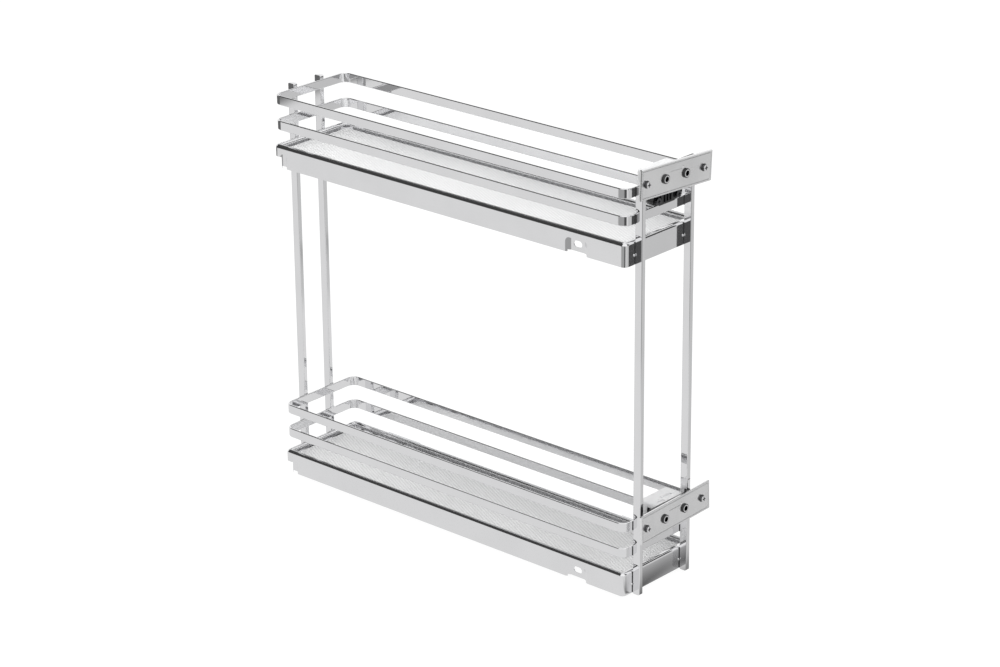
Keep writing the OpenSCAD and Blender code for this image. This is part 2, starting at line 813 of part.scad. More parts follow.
module front_left_post() { place() post(-front_post_pitch / 2, front_post_y, front_post_top); }
module front_right_post() { place() post(front_post_pitch / 2, front_post_y, front_post_top); }
module rear_left_post() { place() post(-rear_post_x, rear_post_y, rear_post_top); }
module rear_right_post() { place() post(rear_post_x, rear_post_y, rear_post_top); }

module upper_tray() { place() at_level(upper_z) tray(); }
module upper_mat() { place() at_level(upper_z) mat(); }
module upper_low_rail() { place() at_level(upper_z) rail(low_rail_z); }
module upper_top_rail() { place() at_level(upper_z) rail(top_rail_z); }
module lower_tray() { place() tray(); }
module lower_mat() { place() mat(); }
module lower_low_rail() { place() rail(low_rail_z); }
module lower_top_rail() { place() rail(top_rail_z); }

module upper_clamp_cover() { place() at_level(upper_z) clamp_cover(upper_side); }
module upper_clamp_block() { place() at_level(upper_z) clamp_block(upper_side); }
module upper_clamp_screws() { place() at_level(upper_z) clamp_screws(upper_side); }
module upper_carrier() { place() at_level(upper_z) carrier(upper_side, upper_height); }
module upper_door_plate() { place() at_level(upper_z) door_plate(upper_side, upper_height, upper_tilt); }
module upper_bushes() { place() at_level(upper_z) bushes(upper_side, upper_height, upper_tilt); }
module upper_bush_liners() { place() at_level(upper_z) bush_liners(upper_side, upper_height, upper_tilt); }
module upper_door_pins() { place() at_level(upper_z) door_pins(upper_side, upper_height, upper_tilt); }

module lower_clamp_cover() { place() clamp_cover(lower_side); }
module lower_clamp_block() { place() clamp_block(lower_side); }
module lower_clamp_screws() { place() clamp_screws(lower_side); }
module lower_carrier() { place() carrier(lower_side, lower_height); }
module lower_door_plate() { place() door_plate(lower_side, lower_height, lower_tilt); }
module lower_bushes() { place() bushes(lower_side, lower_height, lower_tilt); }
module lower_bush_liners() { place() bush_liners(lower_side, lower_height, lower_tilt); }
module lower_door_pins() { place() door_pins(lower_side, lower_height, lower_tilt); }

module upper_cabinet_member() { place() at_level(upper_z) cabinet_member(); }
module upper_wall_brackets() { place() at_level(upper_z) wall_brackets(); }
module upper_middle_member() { place() at_level(upper_z) middle_member(); }
module upper_drawer_member() { place() at_level(upper_z) drawer_member(); }
module upper_outer_cage() { place() at_level(upper_z) outer_cage(); }
module upper_inner_cage() { place() at_level(upper_z) inner_cage(); }
module upper_runner_screw() { place() at_level(upper_z) runner_screw(); }

module lower_cabinet_member() { place() cabinet_member(); }
module lower_wall_brackets() { place() wall_brackets(); }
module lower_middle_member() { place() middle_member(); }
module lower_drawer_member() { place() drawer_member(); }
module lower_outer_cage() { place() outer_cage(); }
module lower_inner_cage() { place() inner_cage(); }
module lower_runner_screw() { place() runner_screw(); }

front_left_post();
front_right_post();
rear_left_post();
rear_right_post();
upper_tray();
upper_mat();
upper_low_rail();
upper_top_rail();
lower_tray();
lower_mat();
lower_low_rail();
lower_top_rail();
upper_clamp_cover();
upper_clamp_block();
upper_clamp_screws();
upper_carrier();
upper_door_plate();
upper_bushes();
upper_bush_liners();
upper_door_pins();
lower_clamp_cover();
lower_clamp_block();
lower_clamp_screws();
lower_carrier();
lower_door_plate();
lower_bushes();
lower_bush_liners();
lower_door_pins();
upper_cabinet_member();
upper_wall_brackets();
upper_middle_member();
upper_drawer_member();
upper_outer_cage();
upper_inner_cage();
upper_runner_screw();
lower_cabinet_member();
lower_wall_brackets();
lower_middle_member();
lower_drawer_member();
lower_outer_cage();
lower_inner_cage();
lower_runner_screw();
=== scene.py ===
# %% [markdown]
# # A pull-out larder unit
# Two chromed baskets hang on four flat-bar posts and slide out of a narrow kitchen cabinet.
# The packed model gives every solid its place, so this lesson is about finish: mirror chrome,
# satin zinc, moulded plastic, a ribbed mat, and the studio that those finishes mirror.

# %% Load the packed model
import math

import bmesh
import bpy
from mathutils import Matrix, Vector


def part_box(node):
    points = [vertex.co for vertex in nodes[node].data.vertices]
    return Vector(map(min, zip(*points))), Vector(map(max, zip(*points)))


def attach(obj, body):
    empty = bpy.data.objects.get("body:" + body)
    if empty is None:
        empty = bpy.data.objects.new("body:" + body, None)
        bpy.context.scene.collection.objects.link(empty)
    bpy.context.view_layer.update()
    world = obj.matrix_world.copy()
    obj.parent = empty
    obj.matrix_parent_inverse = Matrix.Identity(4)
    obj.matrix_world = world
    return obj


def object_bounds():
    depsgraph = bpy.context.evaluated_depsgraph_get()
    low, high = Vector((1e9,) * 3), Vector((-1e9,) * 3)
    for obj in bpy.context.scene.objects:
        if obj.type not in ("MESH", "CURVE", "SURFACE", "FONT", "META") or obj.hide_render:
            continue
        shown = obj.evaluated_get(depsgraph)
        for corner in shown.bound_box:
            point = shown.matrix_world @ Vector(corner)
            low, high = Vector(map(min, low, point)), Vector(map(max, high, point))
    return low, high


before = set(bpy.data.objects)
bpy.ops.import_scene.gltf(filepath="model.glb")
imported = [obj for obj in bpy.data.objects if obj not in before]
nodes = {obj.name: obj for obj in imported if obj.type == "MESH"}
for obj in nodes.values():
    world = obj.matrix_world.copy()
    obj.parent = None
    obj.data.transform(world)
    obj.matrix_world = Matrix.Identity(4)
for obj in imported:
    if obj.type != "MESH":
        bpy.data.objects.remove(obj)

cad_low, cad_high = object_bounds()
CENTRE = (cad_low + cad_high) / 2
print("nodes:", len(nodes), "size in m:", [round(v, 4) for v in cad_high - cad_low])

# %% [markdown]
# Chrome shows its surroundings and little else, so a camera at the photograph's angle comes first.
# The lens is long: the uprights stay nearly parallel, and the far end is only a little smaller.
# The camera looks at a point inside the unit and is then moved aside a little, in its own right
# and up directions, which puts the unit where the photograph has it.

# %% Camera at the photograph's angle
CAMERA_AZIMUTH = -48.0
CAMERA_ELEVATION = 21.56
CAMERA_ROLL = -0.55
CAMERA_DISTANCE = 3.11235
LOOK_AT = Vector((-0.059, 0.163, 0.198))
AIM_RIGHT, AIM_UP = -0.02079, 0.00867
PHOTO_WIDTH_PX = 1000.0
FOCAL_PX = 3082.0
SENSOR_WIDTH_MM = 36.0
NEAREST, FARTHEST = 0.05, 60.0


def added(name, data):
    """A new object in the scene, at the origin, for a mesh, a lens or a lamp."""
    item = bpy.data.objects.new(name, data)
    bpy.context.scene.collection.objects.link(item)
    return item


def camera_axes(azimuth, elevation, roll):
    """Right, up and ahead of a camera. At azimuth 0 it looks along +Y."""
    a, e, r = (math.radians(v) for v in (azimuth, elevation, roll))
    ahead = Vector((-math.sin(a) * math.cos(e), math.cos(a) * math.cos(e), -math.sin(e)))
    right = Vector((math.cos(a), math.sin(a), 0.0))
    up = right.cross(ahead)
    return right * math.cos(r) + up * math.sin(r), up * math.cos(r) - right * math.sin(r), ahead


right, up, ahead = camera_axes(CAMERA_AZIMUTH, CAMERA_ELEVATION, CAMERA_ROLL)
lens = bpy.data.cameras.new("photo_camera")
lens.sensor_width = SENSOR_WIDTH_MM
lens.lens = FOCAL_PX * SENSOR_WIDTH_MM / PHOTO_WIDTH_PX
lens.clip_start, lens.clip_end = NEAREST, FARTHEST
camera = added("photo_camera", lens)
turn = Matrix((right, up, -ahead)).transposed().to_4x4()
place = LOOK_AT - right * AIM_RIGHT - up * AIM_UP - ahead * CAMERA_DISTANCE
camera.matrix_world = Matrix.Translation(place) @ turn
bpy.context.scene.camera = camera
print("lens:", round(lens.lens, 1), "mm, camera at", [round(v, 3) for v in place])

# %% [markdown]
# Shader maths reads best as plain expressions. `Value` wraps a socket, and each operator adds one
# Math node. The reflected forms let `1 - mask` work with the number on the left.


# %% Shader maths as expressions
class Value:
    """The number that comes out of a socket."""

    def __init__(self, tree, socket):
        self.tree = tree
        self.socket = socket

    def math(self, operation, *others):
        node = self.tree.nodes.new("ShaderNodeMath")
        node.operation = operation
        for slot, item in enumerate((self, *others)):
            if isinstance(item, Value):
                self.tree.links.new(item.socket, node.inputs[slot])
            else:
                node.inputs[slot].default_value = item
        return Value(self.tree, node.outputs[0])

    def __add__(self, other):
        return self.math("ADD", other)

    def __mul__(self, other):
        return self.math("MULTIPLY", other)

    def __sub__(self, other):
        return self.math("SUBTRACT", other)

    def __rsub__(self, other):
        return (self * -1.0) + other

    def __truediv__(self, other):
        return self.math("DIVIDE", other)

    __radd__ = __add__
    __rmul__ = __mul__

    def sine(self):
        return self.math("SINE")

    def power(self, exponent):
        return self.math("POWER", exponent)

    def larger(self, other):
        return self.math("MAXIMUM", other)

    def smaller(self, other):
        return self.math("MINIMUM", other)

    def step(self, low, high):
        """Smooth rise from 0 at low to 1 at high."""
        node = self.tree.nodes.new("ShaderNodeMapRange")
        node.interpolation_type = "SMOOTHSTEP"
        self.tree.links.new(self.socket, node.inputs["Value"])
        node.inputs["From Min"].default_value = low
        node.inputs["From Max"].default_value = high
        return Value(self.tree, node.outputs[0])


print("operators ready:", [name for name in vars(Value) if not name.startswith("_")])

# %% [markdown]
# Every other node comes from one method, in materials, in the world and in Geometry Nodes alike.
# It takes the node's type, its settings, and a value or a link for each of its sockets.


# %% One method for every other node
class Nodes:
    """Fills one node tree."""

    def __init__(self, tree):
        self.tree = tree

    def node(self, kind, settings=None, **sockets):
        made = self.tree.nodes.new(kind)
        for key, setting in (settings or {}).items():
            setattr(made, key, setting)
        for key, item in sockets.items():
            self.feed(made.inputs[key.replace("_", " ")], item)
        return made

    def feed(self, socket, item):
        if isinstance(item, Value):
            item = item.socket
        if isinstance(item, bpy.types.NodeSocket):
            self.tree.links.new(item, socket)
        else:
            socket.default_value = item

    def value(self, socket):
        return Value(self.tree, socket)

    def mixed(self, factor, first, second):
        """One shader where the factor is 0 and another where it is 1."""
        mix = self.node("ShaderNodeMixShader")
        for slot, item in enumerate((factor, first, second)):
            self.feed(mix.inputs[slot], item)
        return mix.outputs[0]


print("tree helper:", [name for name in vars(Nodes) if not name.startswith("_")])

# %% [markdown]
# `Finish` starts a material. Its patterns read Object coordinates, so they keep their real size
# and stay on the piece when it moves.


# %% A material under way
class Finish(Nodes):
    def __init__(self, name):
        self.material = bpy.data.materials.new(name)
        self.material.use_nodes = True
        super().__init__(self.material.node_tree)
        self.tree.nodes.clear()
        self.out = self.node("ShaderNodeOutputMaterial")

    def place(self):
        return self.node("ShaderNodeTexCoord").outputs["Object"]

    def axes(self):
        split = self.node("ShaderNodeSeparateXYZ", Vector=self.place())
        return [self.value(socket) for socket in split.outputs]

    def noise(self, scale, detail, stretch=(1.0, 1.0, 1.0)):
        """Noise with scale spots to a metre. A stretch under 1 draws them out along that axis."""
        spread = self.node("ShaderNodeMapping", Vector=self.place(), Scale=stretch)
        made = self.node("ShaderNodeTexNoise", Vector=spread.outputs[0], Scale=scale, Detail=detail)
        return self.value(made.outputs[0])

    def blend(self, factor, first, second):
        """The first colour where the factor is 0 and the second where it is 1."""
        mix = self.node("ShaderNodeMix", {"data_type": "RGBA"})
        for slot, item in ((0, factor), (6, (*first, 1.0)), (7, (*second, 1.0))):
            self.feed(mix.inputs[slot], item)
        return mix.outputs[2]

    def bump(self, height, distance):
        return self.node("ShaderNodeBump", Strength=1.0, Distance=distance, Height=height).outputs[0]

    def shown(self, shader):
        """Ends the material with a shader's output."""
        self.feed(self.out.inputs["Surface"], shader)
        return self.material

    def surface(self, **sockets):
        return self.shown(self.node("ShaderNodeBsdfPrincipled", **sockets).outputs[0])


def darker(tone, share):
    return tuple(channel * share for channel in tone)


print("materials so far:", len(bpy.data.materials))

# %% [markdown]
# Plated bar is almost a mirror. What gives it away is a slow waviness left by rolling and bending,
# and a trace of haze. Both come from stretched noise: one feeds a very shallow bump, the other
# a small change of roughness. A picture could not do this, because chrome has no colour of its own.

# %% Mirror chrome
CHROME_TONE = (0.86, 0.86, 0.87)
CHROME_SMEARED = darker(CHROME_TONE, 0.97)
SMEAR_HAZE = 0.030
GRAIN_HAZE = 0.010
GRAIN_DEPTH = 0.01


def chrome(name, haze, wave_stretch, wave_depth):
    f = Finish(name)
    wave = f.noise(scale=9.0, detail=2.0, stretch=wave_stretch)
    grain = f.noise(scale=160.0, detail=4.0)
    smear = f.noise(scale=22.0, detail=4.0)
    return f.surface(
        Base_Color=f.blend(smear.step(0.3, 0.75), CHROME_TONE, CHROME_SMEARED),
        Metallic=1.0,
        Roughness=haze + smear.step(0.45, 0.8) * SMEAR_HAZE + grain * GRAIN_HAZE,
        Normal=f.bump(wave + grain * GRAIN_DEPTH, wave_depth),
    )


bar_chrome = chrome("bar_chrome", haze=0.025, wave_stretch=(1.0, 1.0, 0.35), wave_depth=0.15e-3)
rail_chrome = chrome("rail_chrome", haze=0.030, wave_stretch=(1.0, 0.3, 1.0), wave_depth=0.15e-3)
tray_chrome = chrome("tray_chrome", haze=0.085, wave_stretch=(1.0, 0.25, 1.0), wave_depth=0.12e-3)
rim_chrome = chrome("rim_chrome", haze=0.050, wave_stretch=(1.0, 0.15, 1.0), wave_depth=0.05e-3)
print("chrome:", [m.name for m in (bar_chrome, rail_chrome, tray_chrome, rim_chrome)])

# %% [markdown]
# The door plates and the runners are zinc plated, which is duller. Rolled strip has fine lines
# along its length, and zinc has a soft cloudy bloom, so a stretched noise makes the lines and a
# broad one the cloud. The clamp screws' dark steel and the runners' balls share this finish.

# %% Satin zinc
LINES_ALONG_PLATE = (0.12, 1.0, 2.2)
LINES_ALONG_RUNNER = (2.0, 0.05, 2.0)
NO_LINES = (1.0, 1.0, 1.0)
BLOOM_SHARE = 0.93
LINE_HAZE = 0.16
BLOOM_HAZE = 0.06


def satin_metal(name, tone, roughness, line_stretch, line_depth):
    f = Finish(name)
    line = f.noise(scale=90.0, detail=5.0, stretch=line_stretch)
    cloud = f.noise(scale=26.0, detail=5.0)
    return f.surface(
        Base_Color=f.blend(cloud.step(0.3, 0.7), tone, darker(tone, BLOOM_SHARE)),
        Metallic=1.0,
        Roughness=roughness + (line - 0.5) * LINE_HAZE + cloud.step(0.4, 0.8) * BLOOM_HAZE,
        Normal=f.bump(line, line_depth),
    )


plate_zinc = satin_metal("plate_zinc", (0.92, 0.92, 0.925), 0.22, LINES_ALONG_PLATE, 0.03e-3)
strip_zinc = satin_metal("strip_zinc", (0.66, 0.67, 0.69), 0.24, LINES_ALONG_RUNNER, 0.04e-3)
screw_zinc = satin_metal("screw_zinc", (0.58, 0.58, 0.59), 0.26, NO_LINES, 0.02e-3)
ball_steel = satin_metal("ball_steel", (0.78, 0.78, 0.79), 0.16, NO_LINES, 0.01e-3)
dark_steel = satin_metal("dark_steel", (0.10, 0.10, 0.105), 0.30, NO_LINES, 0.01e-3)
print("zinc:", [m.name for m in (plate_zinc, strip_zinc, screw_zinc, ball_steel, dark_steel)])

# %% [markdown]
# The door pins and the bush liners are turned steel. Their front rings are polished by handling.
# The recess or bore behind the ring is rougher with oil, and its dark colour is a painted shade
# for the hollow. Both parts face the door, so depth behind the front is enough to tell one from
# the other.

# %% Turned steel with painted shade in the recess
LINER_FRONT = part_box("upper_bush_liners")[0].y
PIN_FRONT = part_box("upper_door_pins")[0].y
LINER_RING = 0.5e-3
PIN_RING = 0.6e-3
POLISHED = 0.16
OIL_HAZE = 0.25
LATHE_HAZE = 0.10


def turned_steel(name, bright, recess_shade_tone, front_y, ring_depth):
    f = Finish(name)
    along = f.axes()[1]
    # inside is 1 behind the front ring: there the colour turns to a painted shade and the roughness rises
    inside = along.step(front_y + ring_depth * 0.5, front_y + ring_depth)
    lathe = f.noise(scale=400.0, detail=3.0, stretch=(1.0, 0.2, 1.0))
    return f.surface(
        Base_Color=f.blend(inside, bright, recess_shade_tone),
        Metallic=1.0,
        Roughness=POLISHED + inside * OIL_HAZE + (lathe - 0.5) * LATHE_HAZE,
        Normal=f.bump(lathe, 0.02e-3),
    )


liner_steel = turned_steel("liner_steel", (0.86, 0.86, 0.87), (0.02, 0.02, 0.021), LINER_FRONT, LINER_RING)
pin_steel = turned_steel("pin_steel", (0.88, 0.88, 0.89), (0.14, 0.14, 0.145), PIN_FRONT, PIN_RING)
print("front faces at y =", round(LINER_FRONT, 4), round(PIN_FRONT, 4))

# %% [markdown]
# Moulded plastic has a fine spark-eroded grain that scatters light, and it is never quite even.
# The white parts are a little milky, so they get some subsurface scatter. The black parts pick up
# a grey haze from handling.

# %% Moulded plastic
MILK_DEPTH = 0.004
WORN_HAZE = 0.12


def moulded_plastic(name, tone, worn, roughness, milk=0.0):
    f = Finish(name)
    grain = f.noise(scale=900.0, detail=2.0)
    haze = f.noise(scale=60.0, detail=4.0)
    return f.surface(
        Base_Color=f.blend(haze.step(0.45, 0.8), tone, worn),
        Roughness=roughness + (haze - 0.5) * WORN_HAZE,
        Subsurface_Weight=milk,
        Subsurface_Radius=(MILK_DEPTH, MILK_DEPTH, MILK_DEPTH),
        Subsurface_Scale=0.5,
        Normal=f.bump(grain, 0.06e-3),
    )


white_plastic = moulded_plastic("white_plastic", (0.82, 0.82, 0.825), (0.74, 0.745, 0.75), 0.34, milk=0.25)
black_plastic = moulded_plastic("black_plastic", (0.014, 0.014, 0.015), (0.030, 0.030, 0.031), 0.34)
bush_plastic = moulded_plastic("bush_plastic", (0.020, 0.020, 0.021), (0.042, 0.042, 0.043), 0.40)
print("plastic:", white_plastic.name, black_plastic.name, bush_plastic.name)

# %% [markdown]
# The mat keeps bottles from sliding. Its face is covered in low pips in staggered rows, which read
# as faint slanting lines across the tray. Two sine waves that cross make the same pattern without
# thousands of small solids. The rows are 3.5 mm apart, wider than on such mats, because a finer
# pattern is lost in a picture of the whole unit. A painted shade also darkens the mat's colour
# towards the cabinet wall, the side away from the light.

# %% Anti-slip mat
PIP_ACROSS = 3.5e-3
PIP_ALONG = 3.5e-3
MAT_LOW, MAT_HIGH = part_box("upper_mat")
MAT_PALE = (0.90, 0.90, 0.90)
MAT_GREY = (0.52, 0.525, 0.53)
LINE_SHADE, PIP_SHADE, CLOUD_SHADE, PAINTED_WALL_SHADE, EVEN_SHADE = 0.34, 0.08, 0.08, 0.30, 0.05


def pip_mat():
    f = Finish("pip_mat")
    x, y = f.axes()[:2]
    lean_left = (x * (2 * math.pi / PIP_ACROSS) + y * (math.pi / PIP_ALONG)).sine()
    lean_right = (x * (2 * math.pi / PIP_ACROSS) - y * (math.pi / PIP_ALONG)).sine()
    pips = (lean_left * lean_right * 0.5 + 0.5).power(2.0)
    lines = (lean_right * 0.5 + 0.5).power(1.5)
    cloud = f.noise(scale=14.0, detail=3.0)
    # painted shade: the mat's colour darkens across its width towards the cabinet wall
    across = x.step(MAT_LOW.x, MAT_HIGH.x)
    shade = lines * LINE_SHADE + pips * PIP_SHADE + cloud.step(0.3, 0.7) * CLOUD_SHADE
    shade = shade + across * PAINTED_WALL_SHADE + EVEN_SHADE
    return f.surface(
        Base_Color=f.blend(shade.smaller(1.0), MAT_PALE, MAT_GREY),
        Roughness=0.42 + cloud * 0.12,
        Normal=f.bump(pips + lines, 0.12e-3),
    )


mat_finish = pip_mat()
mat_size = MAT_HIGH - MAT_LOW
print("pips across one mat:", round(mat_size.x / PIP_ACROSS), "by", round(mat_size.y / PIP_ALONG))

# %% [markdown]
# Every node of the model has a plain name, so a word of the name picks its finish. The first word
# that fits wins.

# %% Give every solid its finish
FINISH_BY_WORD = [
    ("post", bar_chrome),
    ("rail", rail_chrome),
    ("tray", tray_chrome),
    ("mat", mat_finish),
    ("clamp_cover", white_plastic),
    ("clamp_block", black_plastic),
    ("clamp_screws", dark_steel),
    ("carrier", black_plastic),
    ("bush_liners", liner_steel),
    ("bushes", bush_plastic),
    ("door_pins", pin_steel),
    ("door_plate", plate_zinc),
    ("runner_screw", screw_zinc),
    ("cage", ball_steel),
    ("member", strip_zinc),
    ("wall_brackets", strip_zinc),
]


def finish_for(name):
    return next(material for word, material in FINISH_BY_WORD if word in name)


for name, solid in nodes.items():
    solid.data.materials.clear()
    solid.data.materials.append(finish_for(name))
print("finished solids:", {m.name: sum(finish_for(n) is m for n in nodes) for _, m in FINISH_BY_WORD})

# %% [markdown]
# The edge of each tray is rolled outwards into a round rim. It is the brightest and the darkest
# line of the whole unit, so its outer half is a finely divided half tube, swept round the tray.
# The packed solid keeps its own plainer bead, and the half tube closes over it with a flat back.
# A curve with a round bevel could make the tube, but a few loops give it exact corners.

# %% Rolled rims
RIM_RADIUS = 3.5e-3
BEAD_RADIUS = 2.3e-3
RIM_CORNER = 5.0e-3
RIM_SIDES = 18
CORNER_STEPS = 8
SHARP_FROM = math.radians(40.0)


def rim_path(low, high):
    """Points of the rim's centre line with the outward direction at each, once round the tray."""
    middle = (low + high) / 2
    corners = ((high.x, high.y), (low.x, high.y), (low.x, low.y), (high.x, low.y))
    path = []
    for quarter, (x, y) in enumerate(corners):
        hub = Vector((x, y, 0.0))
        hub.x -= math.copysign(RIM_CORNER, x - middle.x)
        hub.y -= math.copysign(RIM_CORNER, y - middle.y)
        for step in range(CORNER_STEPS + 1):
            angle = math.radians(90.0 * (quarter + step / CORNER_STEPS))
            out = Vector((math.cos(angle), math.sin(angle), 0.0))
            path.append((hub + out * (RIM_CORNER - RIM_RADIUS), out))
    return path


def half_ring(shape, centre, out, height):
    """One half circle of the tube, from its foot round the outside to its top."""
    ring = []
    for side in range(RIM_SIDES + 1):
        angle = math.pi * (side / RIM_SIDES - 0.5)
        lift = Vector((0.0, 0.0, RIM_RADIUS * math.sin(angle) + height))
        ring.append(shape.verts.new(centre + out * (RIM_RADIUS * math.cos(angle)) + lift))
    return ring


def rolled_rim(level):
    low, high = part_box(f"{level}_tray")
    shape = bmesh.new()
    rings = [half_ring(shape, centre, out, high.z - BEAD_RADIUS) for centre, out in rim_path(low, high)]
    for ring, after in zip(rings, rings[1:] + rings[:1]):
        for side in range(RIM_SIDES + 1):
            other = (side + 1) % (RIM_SIDES + 1)
            shape.faces.new((ring[side], after[side], after[other], ring[other]))
    bmesh.ops.recalc_face_normals(shape, faces=shape.faces)
    mesh = bpy.data.meshes.new(f"{level}_rolled_rim")
    shape.to_mesh(mesh)
    shape.free()
    mesh.shade_smooth()
    mesh.set_sharp_from_angle(angle=SHARP_FROM)
    mesh.materials.append(rim_chrome)
    rim = added(mesh.name, mesh)
    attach(rim, "baskets")
    return rim


rims = [rolled_rim(level) for level in ("upper", "lower")]
print("rims:", [(r.name, len(r.data.polygons)) for r in rims])

# %% [markdown]
# Welds repeat one shape at many places, which is work for Geometry Nodes. `Repeat` starts a tree
# that takes points and a few named sizes, and `made_plain` runs it and keeps a plain mesh.


# %% A tree that repeats one shape
class Repeat(Nodes):
    def __init__(self, name, **sizes):
        super().__init__(bpy.data.node_groups.new(name, "GeometryNodeTree"))
        face = self.tree.interface
        face.new_socket("Geometry", in_out="INPUT", socket_type="NodeSocketGeometry")
        self.identifiers = {}
        for key, kind in sizes.items():
            socket = face.new_socket(key.replace("_", " "), in_out="INPUT", socket_type=kind)
            self.identifiers[key] = socket.identifier
        face.new_socket("Geometry", in_out="OUTPUT", socket_type="NodeSocketGeometry")
        self.given = self.node("NodeGroupInput").outputs

    def scaled(self, vector, amount):
        made = self.node("ShaderNodeVectorMath", {"operation": "SCALE"}, Vector=vector, Scale=amount)
        return made.outputs[0]

    def pushed(self, geometry, offset):
        return self.node("GeometryNodeSetPosition", Geometry=geometry, Offset=offset).outputs[0]

    def on_points(self, shape, size):
        """Real copies of a shape, one on every point."""
        points = self.given["Geometry"]
        copies = self.node("GeometryNodeInstanceOnPoints", Points=points, Instance=shape, Scale=size)
        return self.node("GeometryNodeRealizeInstances", Geometry=copies.outputs[0]).outputs[0]

    def end(self, geometry, material):
        done = self.node("GeometryNodeSetMaterial", Geometry=geometry, Material=material)
        self.node("NodeGroupOutput", Geometry=done.outputs[0])


def made_plain(name, points, repeat, **sizes):
    """Runs a tree on a list of points and keeps the result as a plain mesh at the origin."""
    seed = bpy.data.meshes.new(name + "_points")
    seed.from_pydata(points, [], [])
    carrier = added(seed.name, seed)
    run = carrier.modifiers.new("repeat", "NODES")
    run.node_group = repeat.tree
    for key, size in sizes.items():
        run[repeat.identifiers[key]] = size
    bpy.context.view_layer.update()
    ready = carrier.evaluated_get(bpy.context.evaluated_depsgraph_get())
    mesh = bpy.data.meshes.new_from_object(ready)
    mesh.name = name
    bpy.data.objects.remove(carrier)
    return added(name, mesh)


print("repeats ready:", [name for name in vars(Repeat) if not name.startswith("_")])

# %% [markdown]
# A post stands on the front of each tray and is welded to it, low on the skirt and on both of its
# sides. The rear posts are welded on one side only, because the runner passes close to the other.
# Every bead is the same small lump with a few ripples, and the points come from the boxes of the
# posts and trays.

# %% Weld beads beside the posts
FRONT_POSTS = ("front_left_post", "front_right_post")
REAR_POSTS = ("rear_left_post", "rear_right_post")
TRAYS = ("lower_tray", "upper_tray")
WELD_ABOVE_EDGE = 9.5e-3
BEAD_SIZE = (0.9e-3, 0.9e-3, 1.3e-3)
BEAD_ASIDE = 1.1e-3
BEAD_RIPPLE = 0.7


def contact_y(post, solid):
    """Where a post touches a tray or a rail: its front at the door end, its back at the other."""
    low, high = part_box(solid)
    return low.y if post in FRONT_POSTS else high.y


def weld_points():
    points = []
    for tray in TRAYS:
        weld_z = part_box(tray)[0].z + WELD_ABOVE_EDGE
        for post in FRONT_POSTS + REAR_POSTS:
            low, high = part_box(post)
            sides = [low.x - BEAD_ASIDE]
            if post in FRONT_POSTS:
                sides.append(high.x + BEAD_ASIDE)
            points += [(side_x, contact_y(post, tray), weld_z) for side_x in sides]
    return points


def bead_tree(material):
    tree = Repeat("weld_beads", Bead_size="NodeSocketVector")
    ball = tree.node("GeometryNodeMeshIcoSphere", Radius=1.0, Subdivisions=4)
    spot = tree.node("GeometryNodeInputPosition").outputs[0]
    ripple = tree.node("ShaderNodeTexNoise", Vector=spot, Scale=2.2, Detail=1.0)
    lift = (tree.value(ripple.outputs[0]) - 0.5) * BEAD_RIPPLE
    bead = tree.pushed(ball.outputs["Mesh"], tree.scaled(spot, lift))
    beads = tree.on_points(bead, tree.given["Bead size"])
    smooth = tree.node("GeometryNodeSetShadeSmooth", Geometry=beads)
    tree.end(smooth.outputs[0], material)
    return tree


welds = made_plain("weld_beads", weld_points(), bead_tree(bar_chrome), Bead_size=BEAD_SIZE)
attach(welds, "baskets")
print("weld beads:", len(weld_points()), "faces:", len(welds.data.polygons))

# %% [markdown]
# Where a post is welded to a rail or to a skirt, a thin dark line runs down each of its back
# corners: partly heat tint from the weld, partly the shade of the crevice, painted as a near-black
# rod. A slim rod with a rough surface is enough, because only its edge shows, and chrome doubles it
# by mirroring it. The rods take their length from the rail or the skirt.

# %% Burnt weld lines with painted crevice shade
RAILS = ("lower_low_rail", "lower_top_rail", "upper_low_rail", "upper_top_rail")
SEAM_WIDTH = 1.5e-3
SEAM_INSET = 0.1e-3
SEAM_SHARE = 0.94
SEAM_RIPPLE = 0.4e-3


def seam_points(solids):
    """The middle of each dark weld line, one at the left and one at the right corner of every post."""
    points = []
    for solid in solids:
        low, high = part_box(solid)
        for post in FRONT_POSTS + REAR_POSTS:
            post_low, post_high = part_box(post)
            for side_x in (post_low.x + SEAM_INSET, post_high.x - SEAM_INSET):
                points.append((side_x, contact_y(post, solid), (low.z + high.z) / 2))
    return points


def seam_tree(material):
    tree = Repeat("weld_seams", Seam_length="NodeSocketFloat", Seam_width="NodeSocketFloat")
    width = tree.given["Seam width"]
    size = tree.node("ShaderNodeCombineXYZ", X=width, Y=width, Z=tree.given["Seam length"])
    rod = tree.node("GeometryNodeMeshCylinder", Vertices=10, Side_Segments=14, Radius=0.5, Depth=1.0)
    rods = tree.on_points(rod.outputs["Mesh"], size.outputs[0])
    spot = tree.node("GeometryNodeInputPosition").outputs[0]
    ripple = tree.node("ShaderNodeTexNoise", Vector=spot, Scale=420.0)
    centred = tree.node("ShaderNodeVectorMath", {"operation": "SUBTRACT"}, Vector=ripple.outputs["Color"])
    centred.inputs[1].default_value = (0.5, 0.5, 0.5)
    tree.end(tree.pushed(rods, tree.scaled(centred.outputs[0], SEAM_RIPPLE)), material)
    return tree


# near-black finish for the weld lines: partly heat tint, partly painted crevice shade
burnt_weld = moulded_plastic("burnt_weld", (0.020, 0.020, 0.021), (0.035, 0.034, 0.033), 0.55)
seams = seam_tree(burnt_weld)
for name, solids in (("rail_seams", RAILS), ("skirt_seams", TRAYS)):
    low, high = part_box(solids[0])
    length = (high.z - low.z) * SEAM_SHARE
    seam = made_plain(name, seam_points(solids), seams, Seam_length=length, Seam_width=SEAM_WIDTH)
    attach(seam, "baskets")
    print(name, "faces:", len(seam.data.polygons))
